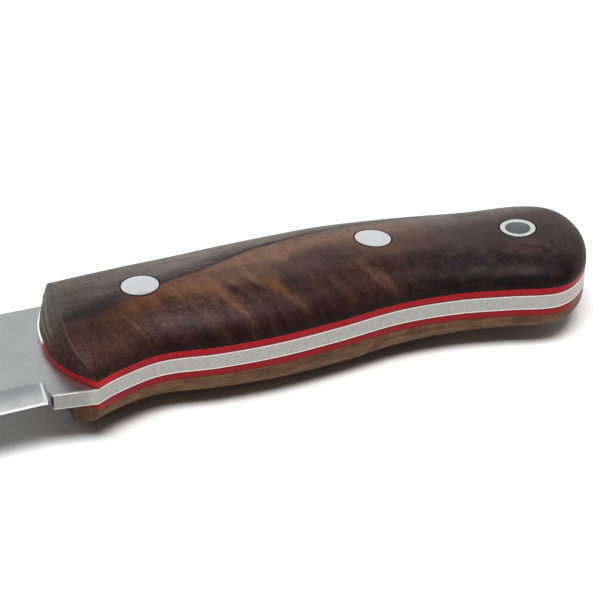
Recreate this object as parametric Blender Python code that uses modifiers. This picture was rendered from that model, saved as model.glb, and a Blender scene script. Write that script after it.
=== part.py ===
"""Full-tang belt knife, lying on its right side.

A flat steel blade carries its own tang. A red liner and a wooden scale lie on each side of the
tang, and two steel pins and one open lanyard tube go through all five layers.

Lengths are in millimetres and are turned into metres where the objects are made. The knife is
drawn from its guard corner: x runs from there towards the butt, y = 0 is the spine of the blade
and the edge is at -y, z = 0 is the middle of the steel. The empty named knife_origin moves this
drawing so that the middle of the knife's box is the world's origin.
"""
import math

import bmesh
import bpy
from mathutils import Vector
from mathutils.geometry import interpolate_bezier

MM = 0.001

# Steel
STOCK = 2.9                   # thickness of blade and tang
TIP = (-100.4, -9.0)
BUTT_X = 93.6
SPINE_TURN_X = -58.0          # where the spine starts to drop towards the tip
HEEL = (-7.9, -26.4)          # rear end of the cutting edge
EDGE_TURN = (-50.0, -27.4)    # where the straight edge starts to sweep up
SPINE_DROP = [(SPINE_TURN_X, 0.0), (-72.0, -0.7), (-87.0, -3.6), TIP]
EDGE_SWEEP = [TIP, (-93.0, -16.2), (-82.0, -22.6), (-67.0, -26.4), EDGE_TURN]
PLUNGE_X = -7.6               # where the grind stops, over the notch
GUARD = (0.0, -27.5)          # corner between ricasso and finger recess
NOTCH_RADIUS = 0.4            # half-round sharpening notch between edge and ricasso
GRIND_WIDTH = 4.2             # height of the ground bevel
EDGE_THICKNESS = 0.16         # flat left on the cutting edge

# Layers of the handle, counted outwards from the steel
GAP = 0.3                     # clearance kept between neighbouring pieces
LINER = 0.8
LINER_FACE = STOCK / 2 + GAP
SCALE_FACE = LINER_FACE + LINER + GAP

# Handle outline: belly from guard corner to butt, then back along the spine
BELLY = [GUARD, (4.5, -25.3), (11.8, -23.5), (21.0, -24.8), (31.5, -25.35), (43.0, -24.6),
         (54.5, -23.35), (65.0, -24.1), (74.0, -26.2), (81.8, -28.25)]
BUTT = [(86.5, -26.8), (91.2, -21.9), (BUTT_X, -14.5), (92.3, -7.4), (86.8, -3.8)]
SPINE = [(76.0, -2.2), (66.0, -0.7), (56.0, 0.15), (44.0, 0.6), (30.0, 0.75), (14.0, 0.25)]

# Front end of liners and scales, from spine to guard corner: at the liner, and at the crown
FRONT_FOOT = [(-2.2, 0.0), (-4.9, -7.5), (-5.5, -13.0), (-5.1, -17.8), (-4.0, -21.3), (-2.0, -24.85),
              GUARD]
FRONT_CROWN = [(-0.4, 0.0), (-1.75, -7.0), (-2.5, -13.0), (-2.7, -17.6), (-2.55, -21.2), (-2.05, -24.6),
               GUARD]
CROWN_LEVEL = 9.0             # height of the crown line above the middle of the steel

# Half thickness of the handle along x. It is straight from LAND_START to LAND_END, so the
# crown of each scale has a real flat there, on which the knife lies.
LAND_START = (2.0, 9.0)
LAND_END = (45.0, 9.65)
HALF_THICKNESS = [(-10.0, 8.82), LAND_START, LAND_END, (50.0, 9.42), (60.0, 8.63), (70.0, 7.95),
                  (78.0, 7.75), (95.0, 8.1)]
CROWN_DROP = 2.0              # the crown runs this far below the middle, towards the belly
SPINE_FULLNESS = 3.0          # superellipse exponent of the section towards the spine
BELLY_FULLNESS = [(-10.0, 1.75), (4.0, 1.75), (36.0, 2.2), (95.0, 2.2)]
BUTT_CENTRE = (81.8, -17.75)  # the butt is rounded about this point

# Pins and tube
PIN_RADIUS = 3.175            # quarter-inch rod and tube
TUBE_BORE_RADIUS = 2.25
FRONT_PIN = (12.0, -11.6)
REAR_PIN = (54.4, -11.0)
LANYARD_TUBE = (80.8, -14.9)
ROUND_SIDES = 40

# Middle of the knife's box, in the drawing
ORIGIN = ((TIP[0] + BUTT_X) / 2, -13.75)

SPAN_STEPS = 4                # points that a smooth line gets between two given ones
SECTION_STEPS = 8             # rings between the foot of a scale and its crown
STATIONS = 34                 # sections of a scale between its front and the butt's centre
OVERHANG = 8.0                # stock in front of the guard corner, before the front is cut


def smooth(points, start=None, end=None, steps=SPAN_STEPS):
    """Points on a smooth line through the given ones. start and end are directions at its ends."""
    knots = [Vector(p) for p in points]
    tangents = [(b - a).normalized() for a, b in zip(knots[:-2], knots[2:])]
    first = Vector(start).normalized() if start else (knots[1] - knots[0]).normalized()
    last = Vector(end).normalized() if end else (knots[-1] - knots[-2]).normalized()
    tangents = [first] + tangents + [last]
    line = [knots[0]]
    for i in range(len(knots) - 1):
        reach = (knots[i + 1] - knots[i]).length / 3
        span = interpolate_bezier(knots[i], knots[i] + tangents[i] * reach,
                                  knots[i + 1] - tangents[i + 1] * reach, knots[i + 1], steps + 1)
        line += [Vector((p.x, p.y)) for p in span[1:]]
    return line


def along(table, x):
    """Value at x in a table of (x, value) pairs, straight between them."""
    for (x0, v0), (x1, v1) in zip(table, table[1:]):
        if x <= x1:
            return v0 + (v1 - v0) * (x - x0) / (x1 - x0)
    return table[-1][1]


def handle_line():
    """The handle's outline from the guard corner round the butt to the spine above the guard."""
    return smooth(BELLY + BUTT + SPINE, start=(0.86, 0.5), end=(-1, 0))


def split_handle():
    """Belly, butt and spine parts of the outline, cut at the butt's centre."""
    line = handle_line()
    belly_end = line.index(Vector(BELLY[-1]))
    spine_start = next(i for i in range(belly_end + 1, len(line)) if line[i].x < BUTT_CENTRE[0])
    return line[:belly_end + 1], line[belly_end + 1:spine_start], line[spine_start:]


def half_thickness(x):
    return along(HALF_THICKNESS, x)


def collection(name):
    made = bpy.data.collections.new(name)
    bpy.context.scene.collection.children.link(made)
    return made


def material(name, colour, roughness, metallic=0.0):
    made = bpy.data.materials.new(name)
    made.use_nodes = True
    shader = made.node_tree.nodes["Principled BSDF"]
    shader.inputs["Base Color"].default_value = (*colour, 1.0)
    shader.inputs["Roughness"].default_value = roughness
    shader.inputs["Metallic"].default_value = metallic
    return made


def add_mesh(name, bm, where, look=None):
    """Object from a bmesh drawn in millimetres."""
    bmesh.ops.scale(bm, vec=(MM, MM, MM), verts=bm.verts)
    bmesh.ops.recalc_face_normals(bm, faces=bm.faces)
    mesh = bpy.data.meshes.new(name)
    bm.to_mesh(mesh)
    bm.free()
    made = bpy.data.objects.new(name, mesh)
    where.objects.link(made)
    if look:
        mesh.materials.append(look)
    return made


def flat_plate(name, outline, low, high, where, look):
    """A plate with a flat outline, between two heights, as a mesh that can be cut."""
    curve = bpy.data.curves.new(name, "CURVE")
    curve.dimensions = "2D"
    curve.fill_mode = "BOTH"
    curve.extrude = (high - low) / 2 * MM
    spline = curve.splines.new("POLY")
    spline.points.add(len(outline) - 1)
    for knot, (x, y) in zip(spline.points, outline):
        knot.co = (x * MM, y * MM, 0.0, 1.0)
    spline.use_cyclic_u = True
    drawn = bpy.data.objects.new(name + "_outline", curve)
    drawn.location = (0.0, 0.0, (low + high) / 2 * MM)
    where.objects.link(drawn)
    bpy.context.view_layer.update()
    mesh = bpy.data.meshes.new_from_object(drawn.evaluated_get(bpy.context.evaluated_depsgraph_get()))
    weld(mesh)
    mesh.name = name
    mesh.materials.clear()
    mesh.materials.append(look)
    made = bpy.data.objects.new(name, mesh)
    made.matrix_world = drawn.matrix_world
    where.objects.link(made)
    bpy.data.objects.remove(drawn)
    return made


def weld(mesh):
    bm = bmesh.new()
    bm.from_mesh(mesh)
    bmesh.ops.remove_doubles(bm, verts=bm.verts, dist=0.000001)
    bmesh.ops.recalc_face_normals(bm, faces=bm.faces)
    bm.to_mesh(mesh)
    bm.free()


def hide_cutter(cutter):
    cutter.hide_render = True
    cutter.display_type = "WIRE"


def cut(target, cutter):
    """Takes the cutter away from the target, with a modifier that stays."""
    modifier = target.modifiers.new("cut_" + cutter.name, "BOOLEAN")
    modifier.operation = "DIFFERENCE"
    modifier.solver = "EXACT"
    modifier.object = cutter


def rod(name, centre, radius, half_length, where, look=None):
    """A round bar along z."""
    bm = bmesh.new()
    bmesh.ops.create_cone(bm, cap_ends=True, segments=ROUND_SIDES, radius1=radius, radius2=radius,
                          depth=2 * half_length)
    made = add_mesh(name, bm, where, look)
    made.location = (centre[0] * MM, centre[1] * MM, 0.0)
    return made


def blade_outline():
    """Blade and tang seen from the side, starting at the guard corner and going round the butt."""
    spine = smooth(SPINE_DROP, start=(-1, 0))
    edge = smooth(EDGE_SWEEP, end=(1, 0.02))
    notch_centre = Vector((HEEL[0] + NOTCH_RADIUS, HEEL[1]))
    notch = [notch_centre + NOTCH_RADIUS * Vector((math.cos(a), math.sin(a)))
             for a in (math.pi * k / 8 for k in range(7, -1, -1))]
    return handle_line() + spine + edge[1:] + [Vector(HEEL)] + notch


def grind_line():
    """Path of the grind along the cutting edge, from the plunge to a little past the tip.

    It bends halfway between the outline's own points, so no corner of the cutter meets one there.
    """
    sweep = smooth(EDGE_SWEEP, end=(1, 0.02))
    sweep.reverse()
    halfway = [(a + b) / 2 for a, b in zip(sweep, sweep[1:])]
    past_tip = sweep[-1] + (sweep[-1] - sweep[-2]).normalized() * 6
    return [Vector((PLUNGE_X, HEEL[1]))] + halfway + [past_tip]


def grind_cutter(name, side, where):
    """The waste that grinding takes off one side of the edge: a wedge swept along the edge."""
    slope = (STOCK - EDGE_THICKNESS) / 2 / GRIND_WIDTH
    foot = EDGE_THICKNESS / 2
    inner, outer, top = GRIND_WIDTH + 1.0, -1.5, STOCK
    wedge = [(outer, foot + outer * slope), (inner, foot + inner * slope), (inner, top), (outer, top)]
    path = grind_line()
    bm = bmesh.new()
    rings = []
    for i, point in enumerate(path):
        ahead = path[min(i + 1, len(path) - 1)]
        behind = path[max(i - 1, 0)]
        run = (ahead - behind).normalized()
        inward = Vector((run.y, -run.x))
        rings.append([bm.verts.new((*(point + inward * u), side * z)) for u, z in wedge])
    for ring, following in zip(rings, rings[1:]):
        for k in range(len(wedge)):
            n = (k + 1) % len(wedge)
            bm.faces.new((ring[k], ring[n], following[n], following[k]))
    bm.faces.new(rings[0])
    bm.faces.new(rings[-1])
    made = add_mesh(name, bm, where)
    hide_cutter(made)
    return made


def section_point(foot, core, fullness, turn):
    """Point of a scale between its foot on the outline (turn 0) and its crown (turn 1)."""
    angle = turn * math.pi / 2
    out = math.cos(angle) ** (2 / fullness)
    up = math.sin(angle) ** (2 / fullness)
    place = core + (foot - core) * out
    return place, up


def fullness(x, towards_spine):
    """Exponent of the section: towards_spine runs from 0 at the belly to 1 at the spine."""
    belly = along(BELLY_FULLNESS, x)
    return belly + (SPINE_FULLNESS - belly) * towards_spine


def scale_body(name, side, where, look):
    """A wooden scale before its front is cut: sections across the handle, rounded at the butt."""
    belly, butt, spine = split_handle()
    belly_table = [(-OVERHANG, GUARD[1])] + [(p.x, p.y) for p in belly]
    spine_table = [(-OVERHANG, 0.0), (0.0, 0.0)] + [(p.x, p.y) for p in reversed(spine)] \
        + [(BUTT_CENTRE[0], butt[-1].y)]
    crown_turn = 1 - 0.7 / SECTION_STEPS
    turns = [crown_turn * k / SECTION_STEPS for k in range(SECTION_STEPS + 1)]
    feet = []
    stations = [-OVERHANG + (BUTT_CENTRE[0] + OVERHANG) * k / STATIONS for k in range(STATIONS + 1)]
    for x in stations:
        low, high = along(belly_table, x), along(spine_table, x)
        core = Vector((x, (low + high) / 2 - CROWN_DROP))
        feet.append((Vector((x, low)), core, 0.0))
    for point in butt:
        core = Vector(BUTT_CENTRE)
        swing = math.atan2(point.y - core.y, point.x - core.x) / math.pi + 0.5
        feet.append((point, core, swing))
    for x in reversed(stations):
        low, high = along(belly_table, x), along(spine_table, x)
        core = Vector((x, (low + high) / 2 - CROWN_DROP))
        feet.append((Vector((x, high)), core, 1.0))
    bm = bmesh.new()
    ribs = []
    for foot, core, towards_spine in feet:
        power = fullness(foot.x, towards_spine)
        rib = []
        for turn in turns:
            place, up = section_point(foot, core, power, turn)
            if turn == turns[-1]:
                up = 1.0
            z = SCALE_FACE + (half_thickness(place.x) - SCALE_FACE) * up
            rib.append(bm.verts.new((place.x, place.y, side * z)))
        ribs.append(rib)
    for rib, following in zip(ribs, ribs[1:]):
        for k in range(SECTION_STEPS):
            bm.faces.new((rib[k], rib[k + 1], following[k + 1], following[k]))
    last = len(ribs) - 1
    for i in range(STATIONS):
        bm.faces.new((ribs[i][-1], ribs[i + 1][-1], ribs[last - i - 1][-1], ribs[last - i][-1]))
    bm.faces.new([ribs[i][-1] for i in range(STATIONS, last - STATIONS + 1)])
    bm.faces.new([rib[0] for rib in ribs])
    bm.faces.new(ribs[0] + ribs[last][::-1])
    return add_mesh(name, bm, where, look)


def front_cutter(name, side, where):
    """Everything in front of a scale's leaning, rounded front face."""
    foot = smooth(FRONT_FOOT)
    crown = smooth(FRONT_CROWN)
    low, high = SCALE_FACE - 1.0, CROWN_LEVEL + 2.0
    far_x = -OVERHANG - 4.0
    bm = bmesh.new()
    layers = []
    for level in (low, high):
        lean = (level - SCALE_FACE) / (CROWN_LEVEL - SCALE_FACE)
        line = [a + (b - a) * lean for a, b in zip(foot, crown)]
        above = line[0] + Vector((0.0, 4.0))
        below = line[-1] + Vector((0.0, -4.0))
        around = [Vector((far_x, above.y)), above] + line + [below, Vector((far_x, below.y))]
        layers.append([bm.verts.new((p.x, p.y, side * level)) for p in around])
    bottom, top = layers
    for k in range(len(bottom)):
        n = (k + 1) % len(bottom)
        bm.faces.new((bottom[k], bottom[n], top[n], top[k]))
    bm.faces.new(bottom)
    bm.faces.new(top)
    made = add_mesh(name, bm, where)
    hide_cutter(made)
    return made


def surface_height(x, y):
    """Height of a scale's outer surface above the middle of the steel."""
    belly, butt, spine = split_handle()
    low = along([(p.x, p.y) for p in belly], x)
    high = along([(p.x, p.y) for p in reversed(spine)], x)
    crown = (low + high) / 2 - CROWN_DROP
    side = high if y > crown else low
    power = fullness(x, 1.0 if y > crown else 0.0)
    offset = (y - crown) / (side - crown)
    return SCALE_FACE + (half_thickness(x) - SCALE_FACE) * (1 - offset ** power) ** (1 / power)


def flush_pin(name, centre, where, look):
    """A solid pin whose ends follow the surface of the scales."""
    made = rod(name, centre, PIN_RADIUS, LAND_START[1], where, look)
    for vertex in made.data.vertices:
        x, y = centre[0] + vertex.co.x / MM, centre[1] + vertex.co.y / MM
        vertex.co.z = math.copysign(surface_height(x, y) * MM, vertex.co.z)
    made.data.shade_smooth()
    made.data.set_sharp_from_angle(angle=math.radians(40))
    return made


def tube(name, centre, where, look):
    """The lanyard tube: a wall profile turned about z."""
    half = surface_height(*centre) * MM
    inner, outer = TUBE_BORE_RADIUS * MM, PIN_RADIUS * MM
    bm = bmesh.new()
    corners = [bm.verts.new(p) for p in ((outer, 0, half), (outer, 0, -half),
                                         (inner, 0, -half), (inner, 0, half))]
    for k in range(4):
        bm.edges.new((corners[k], corners[(k + 1) % 4]))
    mesh = bpy.data.meshes.new(name)
    bm.to_mesh(mesh)
    bm.free()
    mesh.materials.append(look)
    made = bpy.data.objects.new(name, mesh)
    where.objects.link(made)
    made.location = (centre[0] * MM, centre[1] * MM, 0.0)
    turn = made.modifiers.new("turn", "SCREW")
    turn.steps = turn.render_steps = ROUND_SIDES
    turn.use_merge_vertices = True
    turn.merge_threshold = 0.00001
    return made


def main():
    for old in list(bpy.data.objects):
        bpy.data.objects.remove(old)
    parts = collection("belt_knife")
    cutters = collection("cutters")
    steel = material("satin_steel", (0.62, 0.63, 0.63), 0.32, 1.0)
    pin_steel = material("polished_steel", (0.78, 0.78, 0.79), 0.2, 1.0)
    red = material("red_fibre", (0.5, 0.012, 0.02), 0.45)
    wood = material("oiled_walnut", (0.085, 0.032, 0.018), 0.38)

    drills = [rod(name, centre, PIN_RADIUS + GAP, 15.0, cutters)
              for name, centre in (("front_drill", FRONT_PIN), ("rear_drill", REAR_PIN),
                                   ("lanyard_drill", LANYARD_TUBE))]
    for drill in drills:
        hide_cutter(drill)

    blade = flat_plate("blade_and_tang", blade_outline(), -STOCK / 2, STOCK / 2, parts, steel)
    for name, side in (("left_grind", 1), ("right_grind", -1)):
        cut(blade, grind_cutter(name, side, cutters))
    made = [blade]

    liner_outline = handle_line() + smooth(FRONT_FOOT)[:-1]
    for hand, side in (("left", 1), ("right", -1)):
        low, high = sorted((side * LINER_FACE, side * (LINER_FACE + LINER)))
        made.append(flat_plate(hand + "_liner", liner_outline, low, high, parts, red))
        scale = scale_body(hand + "_scale", side, parts, wood)
        cut(scale, front_cutter(hand + "_front_cut", side, cutters))
        made.append(scale)

    for piece in made:
        for drill in drills:
            cut(piece, drill)

    made.append(flush_pin("front_pin", FRONT_PIN, parts, pin_steel))
    made.append(flush_pin("rear_pin", REAR_PIN, parts, pin_steel))
    made.append(tube("lanyard_tube", LANYARD_TUBE, parts, pin_steel))

    origin = bpy.data.objects.new("knife_origin", None)
    parts.objects.link(origin)
    origin.location = (-ORIGIN[0] * MM, -ORIGIN[1] * MM, 0.0)
    for piece in made + list(cutters.objects):
        piece.parent = origin
    bpy.context.view_layer.update()


main()
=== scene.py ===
"""Full-tang belt knife lying on its right side on a white floor, under soft studio light.

Lengths are in millimetres in the knife's own drawing: x runs from the guard corner towards the
butt, y = 0 is the spine of the blade and the edge is at -y, z = 0 is the middle of the steel.
SHIFT, found from the front pin of the CAD model, moves the drawing into the frame.
"""
import math

import bmesh
import bpy
import numpy as np
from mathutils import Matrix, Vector
from mathutils.geometry import interpolate_bezier


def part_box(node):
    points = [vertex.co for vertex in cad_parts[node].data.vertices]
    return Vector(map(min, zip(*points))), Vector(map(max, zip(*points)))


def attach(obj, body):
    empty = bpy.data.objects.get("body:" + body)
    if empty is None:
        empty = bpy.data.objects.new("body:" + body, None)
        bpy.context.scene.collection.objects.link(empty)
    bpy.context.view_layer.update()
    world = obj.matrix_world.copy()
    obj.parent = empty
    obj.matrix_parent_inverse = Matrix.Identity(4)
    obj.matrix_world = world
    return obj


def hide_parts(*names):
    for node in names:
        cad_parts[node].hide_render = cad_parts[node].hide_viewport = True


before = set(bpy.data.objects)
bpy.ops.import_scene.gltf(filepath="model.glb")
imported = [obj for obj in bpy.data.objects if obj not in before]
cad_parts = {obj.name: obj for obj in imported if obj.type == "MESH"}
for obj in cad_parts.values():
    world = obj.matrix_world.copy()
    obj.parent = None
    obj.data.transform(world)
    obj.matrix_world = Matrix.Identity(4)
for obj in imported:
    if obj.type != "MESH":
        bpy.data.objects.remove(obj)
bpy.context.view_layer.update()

MM = 0.001
scene = bpy.context.scene

# Outline of blade and handle
STOCK = 2.9
HALF_STOCK = STOCK / 2
TIP = (-100.4, -9)
BUTT_X = 93.6
SPINE_TURN_X = -58.0
HEEL = (-7.9, -26.4)
EDGE_TURN = (-50, -27.4)
SPINE_DROP = [(SPINE_TURN_X, 0), (-72, -0.7), (-87, -3.6), TIP]
EDGE_SWEEP = [TIP, (-93, -16.2), (-82, -22.6), (-67, -26.4), EDGE_TURN]
GUARD = (0, -27.5)
NOTCH_RADIUS = 0.4
NOTCH_CENTRE = (HEEL[0] + NOTCH_RADIUS, HEEL[1])
BELLY = [GUARD, (4.5, -25.3), (11.8, -23.5), (21, -24.8), (31.5, -25.35), (43, -24.6),
         (54.5, -23.35), (65, -24.1), (74, -26.2), (81.8, -28.25)]
BUTT = [(86.5, -26.8), (91.2, -21.9), (BUTT_X, -14.5), (92.3, -7.4), (86.8, -3.8)]
SPINE = [(76, -2.2), (66, -0.7), (56, 0.15), (44, 0.6), (30, 0.75), (14, 0.25)]
FRONT_FOOT = [(-2.2, 0), (-4.9, -7.5), (-5.5, -13), (-5.1, -17.8), (-4, -21.3), (-2, -24.85),
              GUARD]
FRONT_CROWN = [(-0.4, 0), (-1.75, -7), (-2.5, -13), (-2.7, -17.6), (-2.55, -21.2), (-2.05, -24.6),
               GUARD]
CROWN_LEVEL = 9.0

# Section of the handle
LINER_LOW = 1.45
LINER_HIGH = 2.75
HALF_THICKNESS = [(-10, 8.82), (2, 9), (24, 9.33), (45, 9.65), (50, 9.42), (60, 8.66),
                  (70, 7.98), (78, 7.75), (95, 8.1)]
CROWN_DROP = 2.0
SPINE_FULLNESS = 3.0
BELLY_FULLNESS = [(-10, 1.75), (4, 1.75), (20, 1.97), (36, 2.2), (95, 2.2)]
BUTT_CENTRE_X = 81.8

# Step of the scales' front feet behind the liners, and the y range that it fades out at
LINER_LEDGE = 0.27
LEDGE_ENDS = (-2, -17)
LEDGE_FADE = 4.0

# Fullness, half width and rise of a usual section, for spreading its lines evenly
USUAL_FULLNESS = 2.6
USUAL_WIDTH = 12.6
USUAL_RISE = 6.4

# Mesh of a scale
QUARTER_LINES = 44
FACET_ROWS = 16
CREASE_ROWS = 6
BODY_ROWS = 210
BUTT_RIBS = 110
CREASE_SOFTENING = 0.24

# Grind
GRIND_WIDTH = 4.2
EDGE_THICKNESS = 0.16
EDGE_END = (1, 0.02)
PLUNGE_X = -8.5
PLUNGE_RADIUS = 1.3

# Pins and tube
PIN_RADIUS = 3.175
BORE_RADIUS = 2.25
GLUE_LINE = 0.15
ROUND_STEPS = 96
DRILL_REACH = 15.0
FRONT_PIN = (12, -11.6)
REAR_PIN = (54.4, -11)
TUBE = (80.8, -14.9)

pin_low, pin_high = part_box("front_pin")
pin_middle = (pin_low + pin_high) / 2
SHIFT = Vector((pin_middle.x / MM - FRONT_PIN[0], pin_middle.y / MM - FRONT_PIN[1], 0))


# ---------------------------------------------------------------- lines and sections

def smooth(points, start=None, end=None, steps=16):
    """Points on a smooth line through the given ones. start and end are directions at its ends."""
    knots = [Vector(p) for p in points]
    tangents = [(b - a).normalized() for a, b in zip(knots[:-2], knots[2:])]
    first = Vector(start).normalized() if start else (knots[1] - knots[0]).normalized()
    last = Vector(end).normalized() if end else (knots[-1] - knots[-2]).normalized()
    tangents = [first] + tangents + [last]
    line = [knots[0]]
    for i in range(len(knots) - 1):
        reach = (knots[i + 1] - knots[i]).length / 3
        span = interpolate_bezier(knots[i], knots[i] + tangents[i] * reach,
                                  knots[i + 1] - tangents[i + 1] * reach, knots[i + 1], steps + 1)
        line += [Vector((p.x, p.y)) for p in span[1:]]
    return line


def array_of(line):
    return np.array([tuple(p) for p in line])


def handle_line():
    return smooth(BELLY + BUTT + SPINE, start=(0.86, 0.5), end=(-1, 0))


def split_handle():
    """Belly, butt and spine parts of the outline, cut at the butt's centre."""
    line = handle_line()
    belly_end = line.index(Vector(BELLY[-1]))
    spine_start = next(i for i in range(belly_end + 1, len(line)) if line[i].x < BUTT_CENTRE_X)
    return line[:belly_end + 1], line[belly_end:spine_start], line[spine_start:]


belly_line, butt_line, spine_line = split_handle()
BELLY_XY = array_of([(-20, GUARD[1])] + belly_line)
SPINE_XY = array_of([(-20, 0), (0, 0)] + spine_line[::-1] + [butt_line[-1]])
THICKNESS_X, THICKNESS_H = array_of(smooth(HALF_THICKNESS)).T
FULLNESS_X, FULLNESS_N = array_of(smooth(BELLY_FULLNESS)).T


def across(x):
    """y of the belly, the crown and the spine of the handle at x."""
    low = np.interp(x, BELLY_XY[:, 0], BELLY_XY[:, 1])
    high = np.interp(x, SPINE_XY[:, 0], SPINE_XY[:, 1])
    return low, (low + high) / 2 - CROWN_DROP, high


def offset_at(x, y):
    """-1 at the belly, 0 at the crown and 1 at the spine."""
    low, crown, high = across(x)
    return np.where(y > crown, (y - crown) / (high - crown), (y - crown) / (crown - low))


def place_at(x, offset):
    low, crown, high = across(x)
    return crown + offset * (high - crown if offset > 0 else crown - low)


def section_height(x, offset, towards_spine):
    """Height of a scale where offset runs from 0 at the crown to 1 at the outline."""
    belly = np.interp(x, FULLNESS_X, FULLNESS_N)
    power = belly + (SPINE_FULLNESS - belly) * towards_spine
    rise = np.clip(1 - np.clip(offset, 0, 1) ** power, 0, 1) ** (1 / power)
    return LINER_HIGH + (np.interp(x, THICKNESS_X, THICKNESS_H) - LINER_HIGH) * rise


def surface_height(x, y):
    """Height of a scale's outer surface, in front of the butt's rounding."""
    offset = offset_at(x, y)
    return section_height(x, np.abs(offset), (offset > 0) * 1.0)


def butt_height(x, y):
    """Height of a scale's outer surface behind the butt's centre."""
    crown = across(BUTT_CENTRE_X)[1]
    swing = np.arctan2(y - crown, x - BUTT_CENTRE_X)
    around = array_of(butt_line)
    turn = np.arctan2(around[:, 1] - crown, around[:, 0] - BUTT_CENTRE_X)
    reach = np.hypot(around[:, 0] - BUTT_CENTRE_X, around[:, 1] - crown)
    foot = np.interp(swing, turn, reach)
    offset = np.hypot(x - BUTT_CENTRE_X, y - crown) / foot
    return section_height(x, offset, swing / math.pi + 0.5)


def any_height(x, y):
    return np.where(x > BUTT_CENTRE_X, butt_height(x, y), surface_height(x, y))


# ---------------------------------------------------------------- meshes

def linked(made):
    scene.collection.objects.link(made)
    return made


def new_object(name, points, faces, look, merge=0.002):
    """Object from points in the drawing, welded, with its faces turned outwards."""
    placed = (np.asarray(points, float) + np.array(SHIFT)) * MM
    mesh = bpy.data.meshes.new(name)
    mesh.from_pydata([tuple(p) for p in placed], [], faces)
    bm = bmesh.new()
    bm.from_mesh(mesh)
    bmesh.ops.remove_doubles(bm, verts=bm.verts, dist=merge * MM)
    bmesh.ops.dissolve_degenerate(bm, edges=bm.edges, dist=merge * MM / 10)
    bmesh.ops.recalc_face_normals(bm, faces=bm.faces)
    bm.to_mesh(mesh)
    bm.free()
    if look:
        mesh.materials.append(look)
    return linked(bpy.data.objects.new(name, mesh))


def cut(target, cutters):
    """Takes the cutters away from the target and keeps the result as its mesh."""
    for cutter in cutters:
        modifier = target.modifiers.new("cut", "BOOLEAN")
        modifier.operation = "DIFFERENCE"
        modifier.solver = "EXACT"
        modifier.object = cutter
    bpy.context.view_layer.update()
    shaped = target.evaluated_get(bpy.context.evaluated_depsgraph_get())
    mesh = bpy.data.meshes.new_from_object(shaped)
    mesh.name = target.name
    target.modifiers.clear()
    target.data = mesh


def shade(piece, sharp_degrees):
    piece.data.shade_smooth()
    piece.data.set_sharp_from_angle(angle=math.radians(sharp_degrees))


def strip(rows, closed=False):
    """Quads between neighbouring rows of vertex numbers."""
    faces = []
    for row, following in zip(rows, rows[1:]):
        last = len(row) if closed else len(row) - 1
        for k in range(last):
            n = (k + 1) % len(row)
            faces.append((row[k], row[n], following[n], following[k]))
    return faces


def drill(centre, radius):
    """A round cutter through the whole handle."""
    turns = np.linspace(0, 2 * math.pi, ROUND_STEPS, endpoint=False)
    ring = [(centre[0] + radius * math.cos(a), centre[1] + radius * math.sin(a)) for a in turns]
    points = [(x, y, -DRILL_REACH) for x, y in ring] + [(x, y, DRILL_REACH) for x, y in ring]
    count = len(ring)
    rows = [list(range(count)), list(range(count, 2 * count))]
    faces = strip(rows, closed=True) + [tuple(rows[0]), tuple(rows[1])]
    return new_object("drill", points, faces, None)


def inset_line(outline, depth):
    """The outline moved inwards by depth, point by point."""
    count = len(outline)
    moved = []
    for i, point in enumerate(outline):
        along = (outline[(i + 1) % count] - outline[i - 1]).normalized()
        moved.append(point + Vector((-along.y, along.x)) * depth)
    return moved


def plate(name, outline, low, high, softening, look):
    """A flat plate whose edges are slightly rounded. The outline runs anticlockwise."""
    levels = [(low, softening), (low + 0.3 * softening, 0.3 * softening), (low + softening, 0),
              (high - softening, 0), (high - 0.3 * softening, 0.3 * softening), (high, softening)]
    points = []
    rows = []
    for z, depth in levels:
        line = inset_line(outline, depth) if depth else outline
        rows.append(list(range(len(points), len(points) + len(line))))
        points += [(p.x, p.y, z) for p in line]
    faces = strip(rows, closed=True) + [tuple(rows[0][::-1]), tuple(rows[-1])]
    return new_object(name, points, faces, look, merge=0.0005)


def section_offsets(count):
    """Offsets from the outline (1) to the crown (0), evenly spread along a typical section."""
    turn = np.linspace(0, math.pi / 2, 600)
    out = np.cos(turn) ** (2 / USUAL_FULLNESS)
    up = np.sin(turn) ** (2 / USUAL_FULLNESS)
    steps = np.hypot(np.diff(out) * USUAL_WIDTH, np.diff(up) * USUAL_RISE)
    run = np.concatenate([[0], np.cumsum(steps)])
    return np.interp(np.linspace(0, run[-1], count + 1), run, out)


def crease_line():
    """Where the leaning front face meets the side: foot, crown, crease point and its offset."""
    foot = array_of(smooth(FRONT_FOOT, steps=60))
    below_top = np.clip((LEDGE_ENDS[0] - foot[:, 1]) / LEDGE_FADE, 0, 1)
    above_end = np.clip((foot[:, 1] - LEDGE_ENDS[1]) / LEDGE_FADE, 0, 1)
    foot[:, 0] += LINER_LEDGE * below_top * above_end
    crown = array_of(smooth(FRONT_CROWN, steps=60))
    low = np.zeros(len(foot))
    high = np.ones(len(foot))
    for _ in range(40):
        lean = (low + high) / 2
        place = foot + (crown - foot) * lean[:, None]
        over = LINER_HIGH + lean * (CROWN_LEVEL - LINER_HIGH) > surface_height(place[:, 0], place[:, 1])
        high = np.where(over, lean, high)
        low = np.where(over, low, lean)
    place = foot + (crown - foot) * high[:, None]
    offset = offset_at(place[:, 0], place[:, 1])
    offset[0], offset[-1] = 1.0, -1.0
    high[0], high[-1] = 0.0, 0.0
    return foot[::-1], crown[::-1], high[::-1], offset[::-1]


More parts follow.
